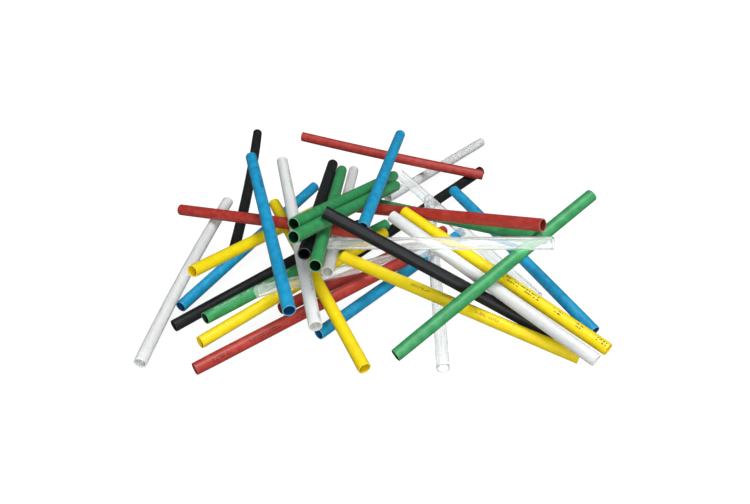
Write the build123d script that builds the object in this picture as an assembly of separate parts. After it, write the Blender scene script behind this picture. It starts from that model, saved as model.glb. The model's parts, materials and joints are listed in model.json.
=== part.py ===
from build123d import *
from collections import Counter
from itertools import combinations
from math import cos, radians, sin
import os

# A loose heap of heat-shrink tubes, all cut to one length, as tipped out onto a table.

# Driving dimensions, in millimetres.
TUBE_LENGTH = 100.0
OUTER_DIAMETER = 5.0
WALL = 0.4
GAP = 0.3  # least clearance between the skins of two tubes

OUTER_RADIUS = OUTER_DIAMETER / 2
BORE_RADIUS = OUTER_RADIUS - WALL
SPACING = OUTER_DIAMETER + GAP  # least distance between the axes of two tubes

MOST_ROUNDS = 100  # of easing the heap apart
EASED = 0.001  # how much of SPACING may be missing when the easing stops
PARALLEL = 1e-6  # the squared sine of the angle below which two tubes count as parallel

# Roughly where each tube lies: its colour, the x, y and height of its middle, its heading in degrees
# anticlockwise from +X, and its slope in degrees, positive where it climbs the way it is headed.
# ease_apart() then lets the tubes push each other to where they just clear.
LAY = [
    # the fan that lies lowest, spread over the table from left to right
    ("blue", 10, -25, 3, 50, 0),
    ("red", -2, -20, 5, 45, -5),
    ("black", -44, -25, 7, 43, 3),
    ("blue", -55, -5, 10, 60, 5),
    ("red", -26, -58, 11, 38, 4),
    ("clear", -5, -27, 11, 31, -7),
    ("yellow", -30, -40, 12, 45, 3),
    ("green", -30, -30, 12, 45, 0),
    ("yellow", -45, -15, 20, 60, -10),
    # the outer tubes at the left
    ("white", -78, -34, 12, 80, 10),
    ("black", -65, 40, 12, -90, -10),
    # the sheaf that runs from front to back over the fan
    ("white", -15, 5, 17, 85, -2),
    ("yellow", -24, -46, 18, -65, -12),
    ("red", -45, -16, 26, -28, 10),
    ("white", -31, -36, 31, -78, -10),
    ("black", -23, -15, 34, 87, -7),
    ("green", -18, -25, 35, 87, -7),
    ("blue", -43, -35, 36, -75, -8),
    ("green", -10, -15, 37, 66, -15),
    ("green", -10, -25, 38, 67, -15),
    ("blue", 4, 5, 37, -100, 2),
    # the outer tubes at the back and the right
    ("white", 35, 76, 6, -125, 4),
    ("black", 22, 25, 8, -133, -5),
    ("red", 8, 65, 18, -18, -5),
    ("blue", 62, -20, 12, -60, -10),
    # the second fan, from the middle of the heap to its right front
    ("clear", 40, 0, 12, -55, -10),
    ("clear", 25, -36, 13, -90, -10),
    ("yellow", 30, -64, 18, -30, -6),
    ("green", 30, -10, 24, -40, 10),
    ("red", 25, -25, 34, -40, 16),
    ("yellow", 47, -56, 26, -45, -9),
    ("white", 41, -63, 28, -45, -10),
    ("clear", 18, -46, 33, -19, 11),
    ("black", 25, -62, 30, -14, -25),
    ("green", 45, -65, 35, -145, -21),
]


class Centreline:
    """The centreline of one tube, a straight line from its start to its end."""

    def __init__(self, x, y, height, heading, slope):
        level = cos(radians(slope))
        way = Vector(level * cos(radians(heading)), level * sin(radians(heading)), sin(radians(slope)))
        self.start = Vector(x, y, height) - way * (TUBE_LENGTH / 2)
        self.end = Vector(x, y, height) + way * (TUBE_LENGTH / 2)

    def run(self):
        return self.end - self.start

    def at(self, share):
        """The point that lies this share of the way from the start to the end."""
        return self.start + self.run() * share

    def push(self, share, shift):
        """Pushes the line at one point, so that the nearer end gives way the most."""
        self.start = self.start + shift * (1 - share)
        self.end = self.end + shift * share

    def tidy(self):
        """Lifts the ends that have sunk into the table, and makes the line its own length again."""
        for point in (self.start, self.end):
            point.Z = max(point.Z, OUTER_RADIUS)
        middle = self.at(0.5)
        half = self.run().normalized() * (TUBE_LENGTH / 2)
        self.start = middle - half
        self.end = middle + half


def within(share):
    return min(1.0, max(0.0, share))


def nearest(line, other):
    """How far along each of two lines, as a share of its length, the two come closest."""
    run, other_run = line.run(), other.run()
    offset = line.start - other.start
    length_squared, other_squared = run.dot(run), other_run.dot(other_run)
    lean = run.dot(other_run)
    crossing = length_squared * other_squared - lean * lean  # nothing for parallel lines
    share = 0.5
    if crossing > PARALLEL * length_squared * other_squared:
        share = within((lean * other_run.dot(offset) - run.dot(offset) * other_squared) / crossing)
    other_share = (lean * share + other_run.dot(offset)) / other_squared
    if other_share != within(other_share):
        other_share = within(other_share)
        share = within((lean * other_share - run.dot(offset)) / length_squared)
    return share, other_share


def part_pair(line, other):
    """Pushes two lines to SPACING apart where they come too close, and returns how much was missing."""
    share, other_share = nearest(line, other)
    between = line.at(share) - other.at(other_share)
    missing = SPACING - between.length
    if missing <= 0:
        return 0
    give = sum(part**2 for part in (share, 1 - share, other_share, 1 - other_share))
    shift = between.normalized() * ((missing + EASED) / give)
    line.push(share, shift)
    other.push(other_share, shift * -1)
    return missing


def ease_apart(lines):
    """Pushes the tubes off each other and off the table, a little at a time, until they all clear."""
    for _ in range(MOST_ROUNDS):
        missing = max(part_pair(line, other) for line, other in combinations(lines, 2))
        for line in lines:
            line.tidy()
        if missing < EASED:
            return
    raise ValueError("the tubes in LAY are too close together to be eased apart")


def make_tube(line):
    """A tube with square-cut open ends along a centreline."""
    end_face = Plane(origin=line.start, z_dir=line.run()) * (Circle(OUTER_RADIUS) - Circle(BORE_RADIUS))
    return extrude(end_face, TUBE_LENGTH)


def tube_names():
    """One name for each tube in LAY: its colour and its number among the tubes of that colour."""
    counted = Counter()
    for colour, *_ in LAY:
        counted[colour] += 1
        yield f"{colour}_tube_{counted[colour]}"


def make_heap():
    """The tubes by name, with the origin on the table under the middle of the whole heap."""
    lines = [Centreline(*place) for _, *place in LAY]
    ease_apart(lines)
    tubes = [make_tube(line) for line in lines]
    box = Compound(tubes).bounding_box()
    to_origin = Location((-box.center().X, -box.center().Y, -box.min.Z))
    return {name: to_origin * tube for name, tube in zip(tube_names(), tubes)}


os.makedirs("parts", exist_ok=True)
for name, tube in make_heap().items():
    export_step(tube, f"parts/{name}.step")
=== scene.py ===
import itertools
import json
import math
import random

import bpy
import numpy as np
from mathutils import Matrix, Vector


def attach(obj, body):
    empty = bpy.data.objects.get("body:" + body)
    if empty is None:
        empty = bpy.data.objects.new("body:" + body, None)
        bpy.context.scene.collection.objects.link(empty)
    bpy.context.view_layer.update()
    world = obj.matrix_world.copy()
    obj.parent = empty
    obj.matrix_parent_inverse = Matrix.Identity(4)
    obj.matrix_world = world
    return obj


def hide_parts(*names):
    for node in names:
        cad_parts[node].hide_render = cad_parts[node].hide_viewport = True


# A loose heap of cut heat-shrink tubes. Each CAD tube is stood for by a hollow tube with worn, knife-cut
# ends, a little out of round and slightly bowed, in one of seven kinds of polyolefin. Lengths are metres.

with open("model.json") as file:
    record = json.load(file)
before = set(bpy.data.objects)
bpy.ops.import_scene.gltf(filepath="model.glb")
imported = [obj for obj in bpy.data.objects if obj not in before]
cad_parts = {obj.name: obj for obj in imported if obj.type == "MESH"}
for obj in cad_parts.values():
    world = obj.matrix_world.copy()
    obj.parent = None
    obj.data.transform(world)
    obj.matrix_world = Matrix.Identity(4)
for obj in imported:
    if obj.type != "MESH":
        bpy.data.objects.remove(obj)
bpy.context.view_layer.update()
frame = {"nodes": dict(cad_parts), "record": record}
record = frame["record"]

MM = 0.001
UP = Vector((0, 0, 1))
random.seed(35)


# ---------------------------------------------------------------- the tubes

SEGMENTS = 48  # round a tube
SKIN_STATIONS = 26  # along the outer skin
BORE_STATIONS = 14  # along the bore
EDGE_STEPS = 3  # in each worn edge of a cut
EDGE = 0.06 * MM  # radius of a worn edge
END_REACH = 9 * MM  # how far in from a cut the squeeze of the knife is felt
SLANT = (0.01, 0.05)  # a knife cut's slope against a square one, least and most
PINCH = (0.004, 0.022)  # how much a cut end is squeezed out of round
OVAL = (0.001, 0.006)  # how much a tube is out of round elsewhere
TWIST = 12  # the most that this oval turns along a tube, in radians a metre
BOW = 0.12 * MM  # the most that a tube packed among others bows

# The tubes that lie clear of their neighbours and bow enough to see: how far the middle stands off the
# straight line, to the right and up as seen along the tube from its front end, in millimetres.
BOWED = {
    "white_tube_1": (-1.2, 0.0),
    "black_tube_2": (1.1, 0.0),
    "red_tube_4": (0.0, -0.6),
    "green_tube_6": (0.3, 0.4),
    "blue_tube_5": (0.3, 0.0),
}


class Tube:
    """Where one CAD tube lies and how large it is, all from its bore mount and its node."""

    def __init__(self, node):
        bore = next(m for m in record["mounts"] if m["name"] == node.replace("_tube_", "_bore_"))
        axis = Vector(bore["axis"]).normalized()
        self.node = node
        self.axis = axis if axis.y < 0 else -axis  # towards the tube's front end
        self.middle = Vector(bore["pos_m"])
        self.half = bore["dims"]["length_mm"] * MM / 2
        self.bore_radius = bore["dims"]["r_mm"] * MM
        self.radius = max(self.off_axis(v.co) for v in frame["nodes"][node].data.vertices)
        self.top = (UP - self.axis * self.axis.z).normalized()
        self.right = self.top.cross(self.axis)

    def off_axis(self, point):
        away = point - self.middle
        return (away - self.axis * away.dot(self.axis)).length


def knife_cut():
    """How one end was cut: its slope, which way it slopes, how much it is squeezed, and which way."""
    return {
        "slant": random.uniform(*SLANT),
        "slant_way": random.uniform(0, 2 * math.pi),
        "pinch": random.uniform(*PINCH),
        "pinch_way": random.uniform(0, math.pi),
    }


def wall_section(tube):
    """The rings of a tube in order, once round its wall: place along, radius, bore share and cut share."""
    skin = [(place, tube.radius, 0, 0) for place in stations(tube.half - EDGE, SKIN_STATIONS)]
    bore = [(place, tube.bore_radius, 1, 0) for place in stations(tube.half - EDGE, BORE_STATIONS)]
    front = []
    for step in range(1, EDGE_STEPS + 1):
        turn = math.pi / 2 * step / EDGE_STEPS
        along = tube.half - EDGE * (1 - math.sin(turn))
        front.append((along, tube.radius - EDGE * (1 - math.cos(turn)), 0, 1))
    front += [(along, tube.radius + tube.bore_radius - radius, 1, 1) for along, radius, _, _ in front[::-1]]
    back = [(-along, radius, inside, cut) for along, radius, inside, cut in front[::-1]]
    return np.array(skin + front + bore[::-1] + back)


def stations(reach, count):
    """Places from -reach to reach, closer together towards the ends."""
    return [reach * math.sin(turn) for turn in np.linspace(-math.pi / 2, math.pi / 2, count)]


def shape_tube(tube):
    """A tube's rings, their points as (ring, segment, xyz), and how far along the tube each point lies.

    The last is a share of the length, from the back end. Segments start underneath and go round by the left.
    """
    rings = wall_section(tube)
    along, radius = rings[:, :1].copy(), rings[:, 1:2]
    angle = np.linspace(-math.pi, math.pi, SEGMENTS, endpoint=False)[None, :]
    waist = random.uniform(*OVAL)
    twist = random.uniform(0, math.pi) + along * random.uniform(-TWIST, TWIST)
    squeeze = waist * (1 - np.cos(2 * (angle - twist)))
    shift = np.zeros((len(rings), SEGMENTS))
    for end in (1, -1):
        cut = knife_cut()
        near = np.clip((along * end - tube.half + END_REACH) / END_REACH, 0, 1)
        near = near * near * (3 - 2 * near)
        squeeze = squeeze + near * cut["pinch"] * (1 - np.cos(2 * (angle - cut["pinch_way"])))
        shift -= end * near * cut["slant"] * tube.radius * (1 - np.cos(angle - cut["slant_way"]))
    wide = radius * (1 - squeeze)
    bow = bow_of(tube) * (1 - (along / tube.half) ** 2)[..., None]
    along = along + shift
    top, right, axis = (np.array(v) for v in (tube.top, tube.right, tube.axis))
    points = np.array(tube.middle) + bow + along[..., None] * axis
    points = points + (wide * np.cos(angle))[..., None] * top + (wide * np.sin(angle))[..., None] * right
    return rings, points, along / (2 * tube.half) + 0.5


def bow_of(tube):
    """How far a tube's middle stands off the straight line between its ends, as a vector."""
    packed = [random.uniform(-1, 1) * BOW / MM / math.sqrt(2) for _ in range(2)]
    right, up = BOWED.get(tube.node, packed)
    return np.array((tube.right * right + tube.top * up) * MM)


def build_tube(tube, material):
    """A tube as one closed wall, unrolled in a UV map, with its bore, its cuts and its batch marked."""
    rings, points, share = shape_tube(tube)
    count = len(rings)
    faces, unrolled = [], []
    for ring, segment in itertools.product(range(count), range(SEGMENTS)):
        low, high = segment / SEGMENTS, (segment + 1) / SEGMENTS
        following, beside = (ring + 1) % count, (segment + 1) % SEGMENTS
        corners = [(ring, segment, low), (following, segment, low),
                   (following, beside, high), (ring, beside, high)]
        faces.append([row * SEGMENTS + place for row, place, _ in corners])
        unrolled += [(share[row, place], turn) for row, place, turn in corners]
    mesh = bpy.data.meshes.new(tube.node + "_wall")
    mesh.from_pydata(points.reshape(-1, 3).tolist(), [], faces)
    mesh.uv_layers.new(name="skin").data.foreach_set("uv", np.array(unrolled, np.float32).ravel())
    mark(mesh, "inside", np.repeat(rings[:, 2], SEGMENTS))
    mark(mesh, "cut", np.repeat(rings[:, 3], SEGMENTS))
    mark(mesh, "batch", np.full(count * SEGMENTS, random.random()))
    mesh.shade_smooth()
    mesh.materials.append(material)
    piece = bpy.data.objects.new(tube.node + "_skin", mesh)
    bpy.context.scene.collection.objects.link(piece)
    return piece


def mark(mesh, name, values):
    layer = mesh.attributes.new(name, "FLOAT", "POINT")
    layer.data.foreach_set("value", np.asarray(values, np.float32))


# ---------------------------------------------------------------- the materials

class Nodes:
    """The nodes of one material or world. Most calls add one node and return what comes out of it."""

    def __init__(self, owner, kind):
        owner.use_nodes = True
        self.owner = owner
        self.kind = kind
        self.tree = owner.node_tree
        self.tree.nodes.clear()

    def add(self, kind, plugs, **settings):
        node = self.tree.nodes.new("ShaderNode" + kind)
        for name, value in settings.items():
            setattr(node, name, value)
        for socket, value in plugs.items():
            self.plug(node.inputs[socket], value)
        return node

    def plug(self, socket, value):
        if isinstance(value, bpy.types.NodeSocket):
            self.tree.links.new(value, socket)
        else:
            socket.default_value = value

    def maths(self, operation, *values):
        return self.add("Math", dict(enumerate(values)), operation=operation).outputs[0]

    def attribute(self, name):
        return self.add("Attribute", {}, attribute_name=name).outputs["Fac"]

    def ramp(self, value, low, high):
        """0 where the value is at low or under, 1 where it is at high or over."""
        plugs = {"Value": value, "From Min": low, "From Max": high}
        return self.add("MapRange", plugs, clamp=True).outputs[0]

    def spread(self, value, least, most):
        """A value from 0 to 1, spread over least to most."""
        plugs = {"Value": value, "To Min": least, "To Max": most}
        return self.add("MapRange", plugs, clamp=True).outputs[0]

    def blend(self, share, colour, other):
        node = self.tree.nodes.new("ShaderNodeMix")
        node.data_type = "RGBA"
        for name, value in {"Factor": share, "A": colour, "B": other}.items():
            self.plug([s for s in node.inputs if s.name == name and s.enabled][0], value)
        return [s for s in node.outputs if s.enabled][0]

    def noise(self, place, scale, detail=3, rough=0.5):
        plugs = {"Vector": place, "Scale": scale, "Detail": detail, "Roughness": rough}
        return self.add("TexNoise", plugs).outputs["Fac"]

    def bounced(self):
        """1 for light that goes on from a surface, 0 for what is seen straight or through a clear wall."""
        rays = self.add("LightPath", {}).outputs
        from_surface = self.maths("MAXIMUM", rays["Is Diffuse Ray"], rays["Is Glossy Ray"])
        return self.maths("LESS_THAN", rays["Is Transmission Ray"], from_surface)

    def finish(self, surface):
        self.add("Output" + self.kind, {"Surface": surface})
        return self.owner


class Shader(Nodes):
    """The nodes of one new material."""

    def __init__(self, name):
        super().__init__(bpy.data.materials.new(name), "Material")


BATCH_STEP = 977  # how far apart in the noise two batches can lie, in millimetres


class Skin(Shader):
    """A shader that knows where it is on a tube: millimetres along it and round it."""

    def __init__(self, name, tube):
        super().__init__(name)
        unrolled = self.add("SeparateXYZ", {0: self.add("UVMap", {}, uv_map="skin").outputs[0]})
        self.along = self.maths("MULTIPLY", unrolled.outputs[0], 2 * tube.half / MM)
        turn = self.maths("MULTIPLY_ADD", unrolled.outputs[1], 2 * math.pi, -math.pi)
        radius = tube.radius / MM
        self.round = self.maths("MULTIPLY", turn, radius)
        self.place = self.add("CombineXYZ", {
            0: self.maths("MULTIPLY", self.maths("COSINE", turn), radius),
            1: self.maths("MULTIPLY", self.maths("SINE", turn), radius),
            2: self.maths("MULTIPLY_ADD", self.attribute("batch"), BATCH_STEP, self.along),
        }).outputs[0]
        self.inside = self.attribute("inside")
        self.cut = self.attribute("cut")

    def drawn_out(self, stretch):
        """The place on the tube, stretched along it, for the lines that the extruder leaves."""
        plugs = {"Vector": self.place, "Scale": (1, 1, 1 / stretch)}
        return self.add("Mapping", plugs).outputs[0]

    def bumps(self, *layers):
        """A normal from layers of (height, depth in metres)."""
        normal = None
        for height, depth in layers:
            plugs = {"Height": height, "Distance": depth, "Strength": 1.0}
            if normal:
                plugs["Normal"] = normal
            normal = self.add("Bump", plugs).outputs[0]
        return normal


PRINT_ROWS = 2
DASH_SHARE = (0.35, 0.95)  # of its cell's length that a dash fills, least and most
DASH_HALF_HEIGHT = 0.26  # as a share of a row
DASHES_KEPT = 0.8  # as a share of the cells
INK_COVER = 0.9


def print_marks(skin, print_):
    """Where ink lies: rows of short dashes, in cells of one pitch, with some dashes left out or worn."""
    groups, centre, tall, pitch = print_
    place = skin.maths("DIVIDE", skin.along, pitch)
    height = skin.maths("DIVIDE", skin.maths("SUBTRACT", skin.round, centre - tall / 2), tall / PRINT_ROWS)
    cell = skin.add("CombineXYZ", {0: skin.maths("FLOOR", place), 1: skin.maths("FLOOR", height)}).outputs[0]
    chance = skin.add("TexWhiteNoise", {"Vector": cell}, noise_dimensions="2D").outputs["Value"]
    across, up = skin.maths("FRACT", place), skin.maths("FRACT", height)
    conditions = [
        skin.maths("LESS_THAN", across, skin.spread(chance, *DASH_SHARE[::-1])),
        skin.maths("LESS_THAN", skin.maths("ABSOLUTE", skin.maths("SUBTRACT", up, 0.5)), DASH_HALF_HEIGHT),
        skin.maths("LESS_THAN", chance, DASHES_KEPT),
        skin.maths("GREATER_THAN", height, 0.0),
        skin.maths("LESS_THAN", height, PRINT_ROWS),
        skin.ramp(skin.noise(skin.place, scale=2.5), low=0.3, high=0.5),
        skin.maths("SUBTRACT", 1.0, skin.inside),
    ]
    ink = 0.0
    for start, end in groups:
        after = skin.maths("GREATER_THAN", skin.along, start)
        before = skin.maths("LESS_THAN", skin.along, end)
        ink = skin.maths("ADD", ink, skin.maths("MULTIPLY", after, before))
    for condition in conditions:
        ink = skin.maths("MULTIPLY", ink, condition)
    return ink


LINES_DEEPEN = 0.25  # how far drawn-out lines go to the deep colour
BATCHES_DEEPEN = 0.12  # how far the deepest batch goes to it
CUTS_WHITEN = 0.5  # how far a cut goes to the colour of a scuff
MOTTLE_DULLS = (-0.06, 0.08)  # what mottle adds to the roughness, least and most
WEAR_DULLS = 0.15  # what scuffs and cuts add to it
LINE_RELIEF = 0.05 * MM
MOTTLE_RELIEF = 0.08 * MM
GRAIN_RELIEF = 0.008 * MM
GLOW_REACH = 0.4 * MM  # how far light spreads inside a wall, before each look's own glow


def polyolefin(name, tube, look, print_=None):
    """Satin tubing: drawn-out lines, faint mottle, scuffs, a paler cut and painted shade darkening the bore.
    """
    skin = Skin(name, tube)
    lines = skin.noise(skin.drawn_out(60), scale=1.6, detail=4, rough=0.6)
    mottle = skin.noise(skin.place, scale=0.35, detail=4, rough=0.6)
    grain = skin.noise(skin.place, scale=9.0, detail=2, rough=0.6)
    scuffs = skin.noise(skin.drawn_out(5), scale=1.1, detail=5, rough=0.7)
    scuffs = skin.ramp(scuffs, low=0.60, high=0.74)
    worn = skin.maths("ADD", scuffs, skin.cut)
    colour = skin.blend(skin.ramp(mottle, low=0.3, high=0.7), look["deep"], look["light"])
    colour = skin.blend(skin.spread(lines, 0, LINES_DEEPEN), colour, look["deep"])
    colour = skin.blend(skin.maths("MULTIPLY", scuffs, look["scuffed"]), colour, look["scuff"])
    batch = skin.maths("MULTIPLY", skin.attribute("batch"), BATCHES_DEEPEN)
    colour = skin.blend(batch, colour, look["deep"])
    # painted shade: the bore is blended towards its darker bore colour, standing in for the shade inside the
    # tube
    colour = skin.blend(skin.maths("MULTIPLY", skin.inside, look["depth"]), colour, look["bore"])
    colour = skin.blend(skin.maths("MULTIPLY", skin.cut, CUTS_WHITEN), colour, look["scuff"])
    if print_:
        *layout, ink_colour = print_
        ink = skin.maths("MULTIPLY", print_marks(skin, layout), INK_COVER)
        colour = skin.blend(ink, colour, ink_colour)
    dull = skin.spread(mottle, *(look["satin"] + change for change in MOTTLE_DULLS))
    surface = skin.add("BsdfPrincipled", {
        "Base Color": colour,
        "Roughness": skin.maths("MULTIPLY_ADD", worn, WEAR_DULLS, dull),
        "Normal": skin.bumps((lines, LINE_RELIEF), (mottle, MOTTLE_RELIEF), (grain, GRAIN_RELIEF)),
        "IOR": 1.5,
        "Specular IOR Level": look["shine"],
        "Subsurface Weight": look["milk"],
        "Subsurface Radius": look["glow"],
        "Subsurface Scale": GLOW_REACH,
    })
    return skin.finish(surface.outputs[0])


CLEAR_STREAK = (0.80, 0.82, 0.82, 1)
CLEAR_BODY = (0.95, 0.96, 0.955, 1)
CLEAR_SHADOW = (0.93, 0.95, 0.945, 1)  # what a clear wall lets through to its shadow
CLEAR_HAZE = (0.03, 0.15)  # its roughness off and on a drawn-out line
CLEAR_WEAR = 0.12  # what scuffs and cuts add to it
CLEAR_RELIEF = 0.01 * MM


def clear_polyolefin(name, tube):
    """Clear tubing: see-through, with hazy drawn-out streaks, faint scuffs and a dulled cut."""
    skin = Skin(name, tube)
    lines = skin.noise(skin.drawn_out(120), scale=1.3, detail=2, rough=0.5)
    scuffs = skin.noise(skin.drawn_out(15), scale=0.8, detail=3, rough=0.6)
    worn = skin.maths("ADD", skin.ramp(scuffs, low=0.55, high=0.8), skin.cut)
    surface = skin.add("BsdfPrincipled", {
        "Base Color": skin.blend(skin.ramp(lines, low=0.38, high=0.62), CLEAR_STREAK, CLEAR_BODY),
        "Roughness": skin.maths("MULTIPLY_ADD", worn, CLEAR_WEAR, skin.spread(lines, *CLEAR_HAZE)),
        "Normal": skin.bumps((lines, CLEAR_RELIEF)),
        "IOR": 1.45,
        "Transmission Weight": 0.90,
    })
    shadow = skin.add("BsdfTransparent", {"Color": CLEAR_SHADOW})
    shadow_ray = skin.add("LightPath", {}).outputs["Is Shadow Ray"]
    mixed = skin.add("MixShader", {0: shadow_ray, 1: surface.outputs[0], 2: shadow.outputs[0]})
    return skin.finish(mixed.outputs[0])


# Each kind of tubing: its skin, between light and deep; its bore colour, a painted shade for the shade
# inside the hollow tube, and how far the bore goes to that colour (depth); its scuffs, and how far they show
# (scuffed);
# its roughness (satin); its specular level (shine); and how much light spreads inside its wall (milk), and
# how far, for red, green and blue (glow).
LOOKS = {
    "blue": {
        "light": (0.012, 0.36, 0.63, 1), "deep": (0.001, 0.20, 0.40, 1), "bore": (0.0, 0.03, 0.12, 1),
        "scuff": (0.22, 0.52, 0.70, 1), "scuffed": 0.25, "depth": 0.85, "satin": 0.42,
        "shine": 0.5, "milk": 0.1, "glow": (0.2, 0.6, 1.0),
    },
    "red": {
        "light": (0.46, 0.050, 0.038, 1), "deep": (0.30, 0.016, 0.010, 1), "bore": (0.06, 0.004, 0.003, 1),
        "scuff": (0.62, 0.20, 0.18, 1), "scuffed": 0.25, "depth": 0.8, "satin": 0.45,
        "shine": 0.5, "milk": 0.12, "glow": (1.0, 0.25, 0.15),
    },
    "green": {
        "light": (0.050, 0.33, 0.115, 1), "deep": (0.016, 0.20, 0.060, 1), "bore": (0.0, 0.012, 0.003, 1),
        "scuff": (0.22, 0.50, 0.28, 1), "scuffed": 0.3, "depth": 0.95, "satin": 0.45,
        "shine": 0.5, "milk": 0.05, "glow": (0.2, 1.0, 0.3),
    },
    "yellow": {
        "light": (0.78, 0.65, 0.003, 1), "deep": (0.74, 0.55, 0.001, 1), "bore": (0.74, 0.46, 0.001, 1),
        "scuff": (0.93, 0.84, 0.12, 1), "scuffed": 0.2, "depth": 0.6, "satin": 0.42,
        "shine": 0.45, "milk": 0.3, "glow": (1.0, 0.8, 0.1),
    },
    "black": {
        "light": (0.014, 0.016, 0.017, 1), "deep": (0.005, 0.006, 0.007, 1),
        "bore": (0.003, 0.003, 0.003, 1),
        "scuff": (0.10, 0.11, 0.12, 1), "scuffed": 0.45, "depth": 0.9, "satin": 0.48,
        "shine": 0.22, "milk": 0.0, "glow": (1.0, 1.0, 1.0),
    },
    "white": {
        "light": (0.80, 0.83, 0.82, 1), "deep": (0.74, 0.78, 0.77, 1), "bore": (0.76, 0.79, 0.77, 1),
        "scuff": (0.90, 0.91, 0.90, 1), "scuffed": 0.3, "depth": 0.6, "satin": 0.42,
        "shine": 0.5, "milk": 0.9, "glow": (5.0, 5.0, 5.0),
    },
}

DARK_INK = (0.012, 0.010, 0.008, 1)
PALE_INK = (0.45, 0.62, 0.50, 1)

# Printed dashes: the stretches they fill, from the tube's back end; how far round to the right of
# its top they run; how tall they are; their pitch, all in millimetres; and their ink.
PRINTS = {
    "yellow_tube_5": ([(49, 70), (76, 80), (86, 89), (95, 99)], -0.9, 2.2, 1.35, DARK_INK),
    "yellow_tube_4": ([(32, 40), (59, 69)], -1.6, 1.1, 0.9, DARK_INK),
    "white_tube_3": ([(9, 15), (17, 22), (40, 50), (74, 84), (95, 98)], 1.7, 1.0, 0.9, DARK_INK),
    "green_tube_1": ([(58, 96)], 0.2, 1.2, 0.8, PALE_INK),
    "red_tube_2": ([(43, 57), (64, 78), (86, 94)], 2.3, 1.8, 1.4, DARK_INK),
    "blue_tube_3": ([(12, 20), (22, 28)], 1.2, 1.4, 1.1, DARK_INK),
}


def material_for(tube, colour, made):
    """The material of a tube: one for each colour, and one more for each printed tube."""
    name = tube.node + "_printed" if tube.node in PRINTS else colour + "_polyolefin"
    if name not in made:
        if colour == "clear":
            made[name] = clear_polyolefin(name, tube)
        else:
            made[name] = polyolefin(name, tube, LOOKS[colour], PRINTS.get(tube.node))
    return made[name]


# ---------------------------------------------------------------- the floor, the light and the camera

FLOOR_SIDE = 60.0
MOST_BOUNCES = 32  # enough for light to find its way out of the clear walls
FLOOR_DROP = 0.2 * MM
FLOOR_PAPER = (0.2, 0.2, 0.2, 1)  # what the ground sends back of the light on it
FLOOR_GLOW = 0.90  # how brightly the ground and the surround glow to the eye, without lighting the heap
SURROUND_LIGHT = 0.10  # how brightly the surround lights the heap
VIEW_DISTANCE = 0.346
VIEW_ELEVATION = math.radians(33)
VIEW_CENTRE = Vector((0.0009, -0.0095, 0))  # on the table, what the camera is aimed at
LENS = 35.52
SENSOR = 36.0


def make_floor():
    half = FLOOR_SIDE / 2
    mesh = bpy.data.meshes.new("floor")
    corners = [(-half, -half), (half, -half), (half, half), (-half, half)]
    mesh.from_pydata([(x, y, -FLOOR_DROP) for x, y in corners], [], [(0, 1, 2, 3)])
    shader = Shader("pale_floor")
    paper = shader.add("BsdfDiffuse", {"Color": FLOOR_PAPER}).outputs[0]
    glow = shader.add("Emission", {"Color": (1, 1, 1, 1), "Strength": FLOOR_GLOW}).outputs[0]
    seen = shader.add("AddShader", {0: paper, 1: glow}).outputs[0]
    surface = shader.add("MixShader", {0: shader.bounced(), 1: seen, 2: paper})
    mesh.materials.append(shader.finish(surface.outputs[0]))
    floor = bpy.data.objects.new("floor", mesh)
    bpy.context.scene.collection.objects.link(floor)


def make_light(name, place, side, power):
    """A square soft light, aimed at the heap: its side in metres and its power in watts."""
    light = bpy.data.lights.new(name, "AREA")
    light.size = side
    light.energy = power
    lamp = bpy.data.objects.new(name, light)
    lamp.location = place
    lamp.rotation_mode = "QUATERNION"
    lamp.rotation_quaternion = (-Vector(place)).to_track_quat("-Z", "Y")
    bpy.context.scene.collection.objects.link(lamp)


def make_world():
    """A white surround that lights the heap faintly, and looks as bright as the ground."""
    shader = Nodes(bpy.data.worlds.new("studio"), "World")
    strength = shader.spread(shader.bounced(), FLOOR_GLOW, SURROUND_LIGHT)
    surround = shader.add("Background", {"Color": (1, 1, 1, 1), "Strength": strength})
    bpy.context.scene.world = shader.finish(surround.outputs[0])


def make_camera():
    camera = bpy.data.cameras.new("camera")
    camera.sensor_width = SENSOR
    camera.lens = LENS
    camera.clip_start = 0.01
    holder = bpy.data.objects.new("camera", camera)
    back = Vector((0, -math.cos(VIEW_ELEVATION), math.sin(VIEW_ELEVATION)))
    holder.location = VIEW_CENTRE + back * VIEW_DISTANCE
    holder.rotation_mode = "QUATERNION"
    holder.rotation_quaternion = (-back).to_track_quat("-Z", "Y")
    bpy.context.scene.collection.objects.link(holder)
    bpy.context.scene.camera = holder


# ---------------------------------------------------------------- the making

bpy.context.scene.view_settings.view_transform = "Standard"
bpy.context.scene.cycles.max_bounces = MOST_BOUNCES
bpy.context.scene.cycles.transmission_bounces = MOST_BOUNCES
bpy.context.scene.cycles.transparent_max_bounces = MOST_BOUNCES
make_camera()
make_floor()
make_world()
make_light("overhead_softbox", place=(0.15, -0.2, 0.9), side=0.5, power=7.5)
make_light("front_softbox", place=(0.1, -0.9, 0.4), side=0.5, power=7)

materials = {}
for part in record["subparts"]:
    tube = Tube(part["node"])
    slot = part["material_slot"]
    colour = slot.split("_")[0]
    piece = build_tube(tube, material_for(tube, colour, materials))
    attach(piece, tube.node)
    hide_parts(tube.node)
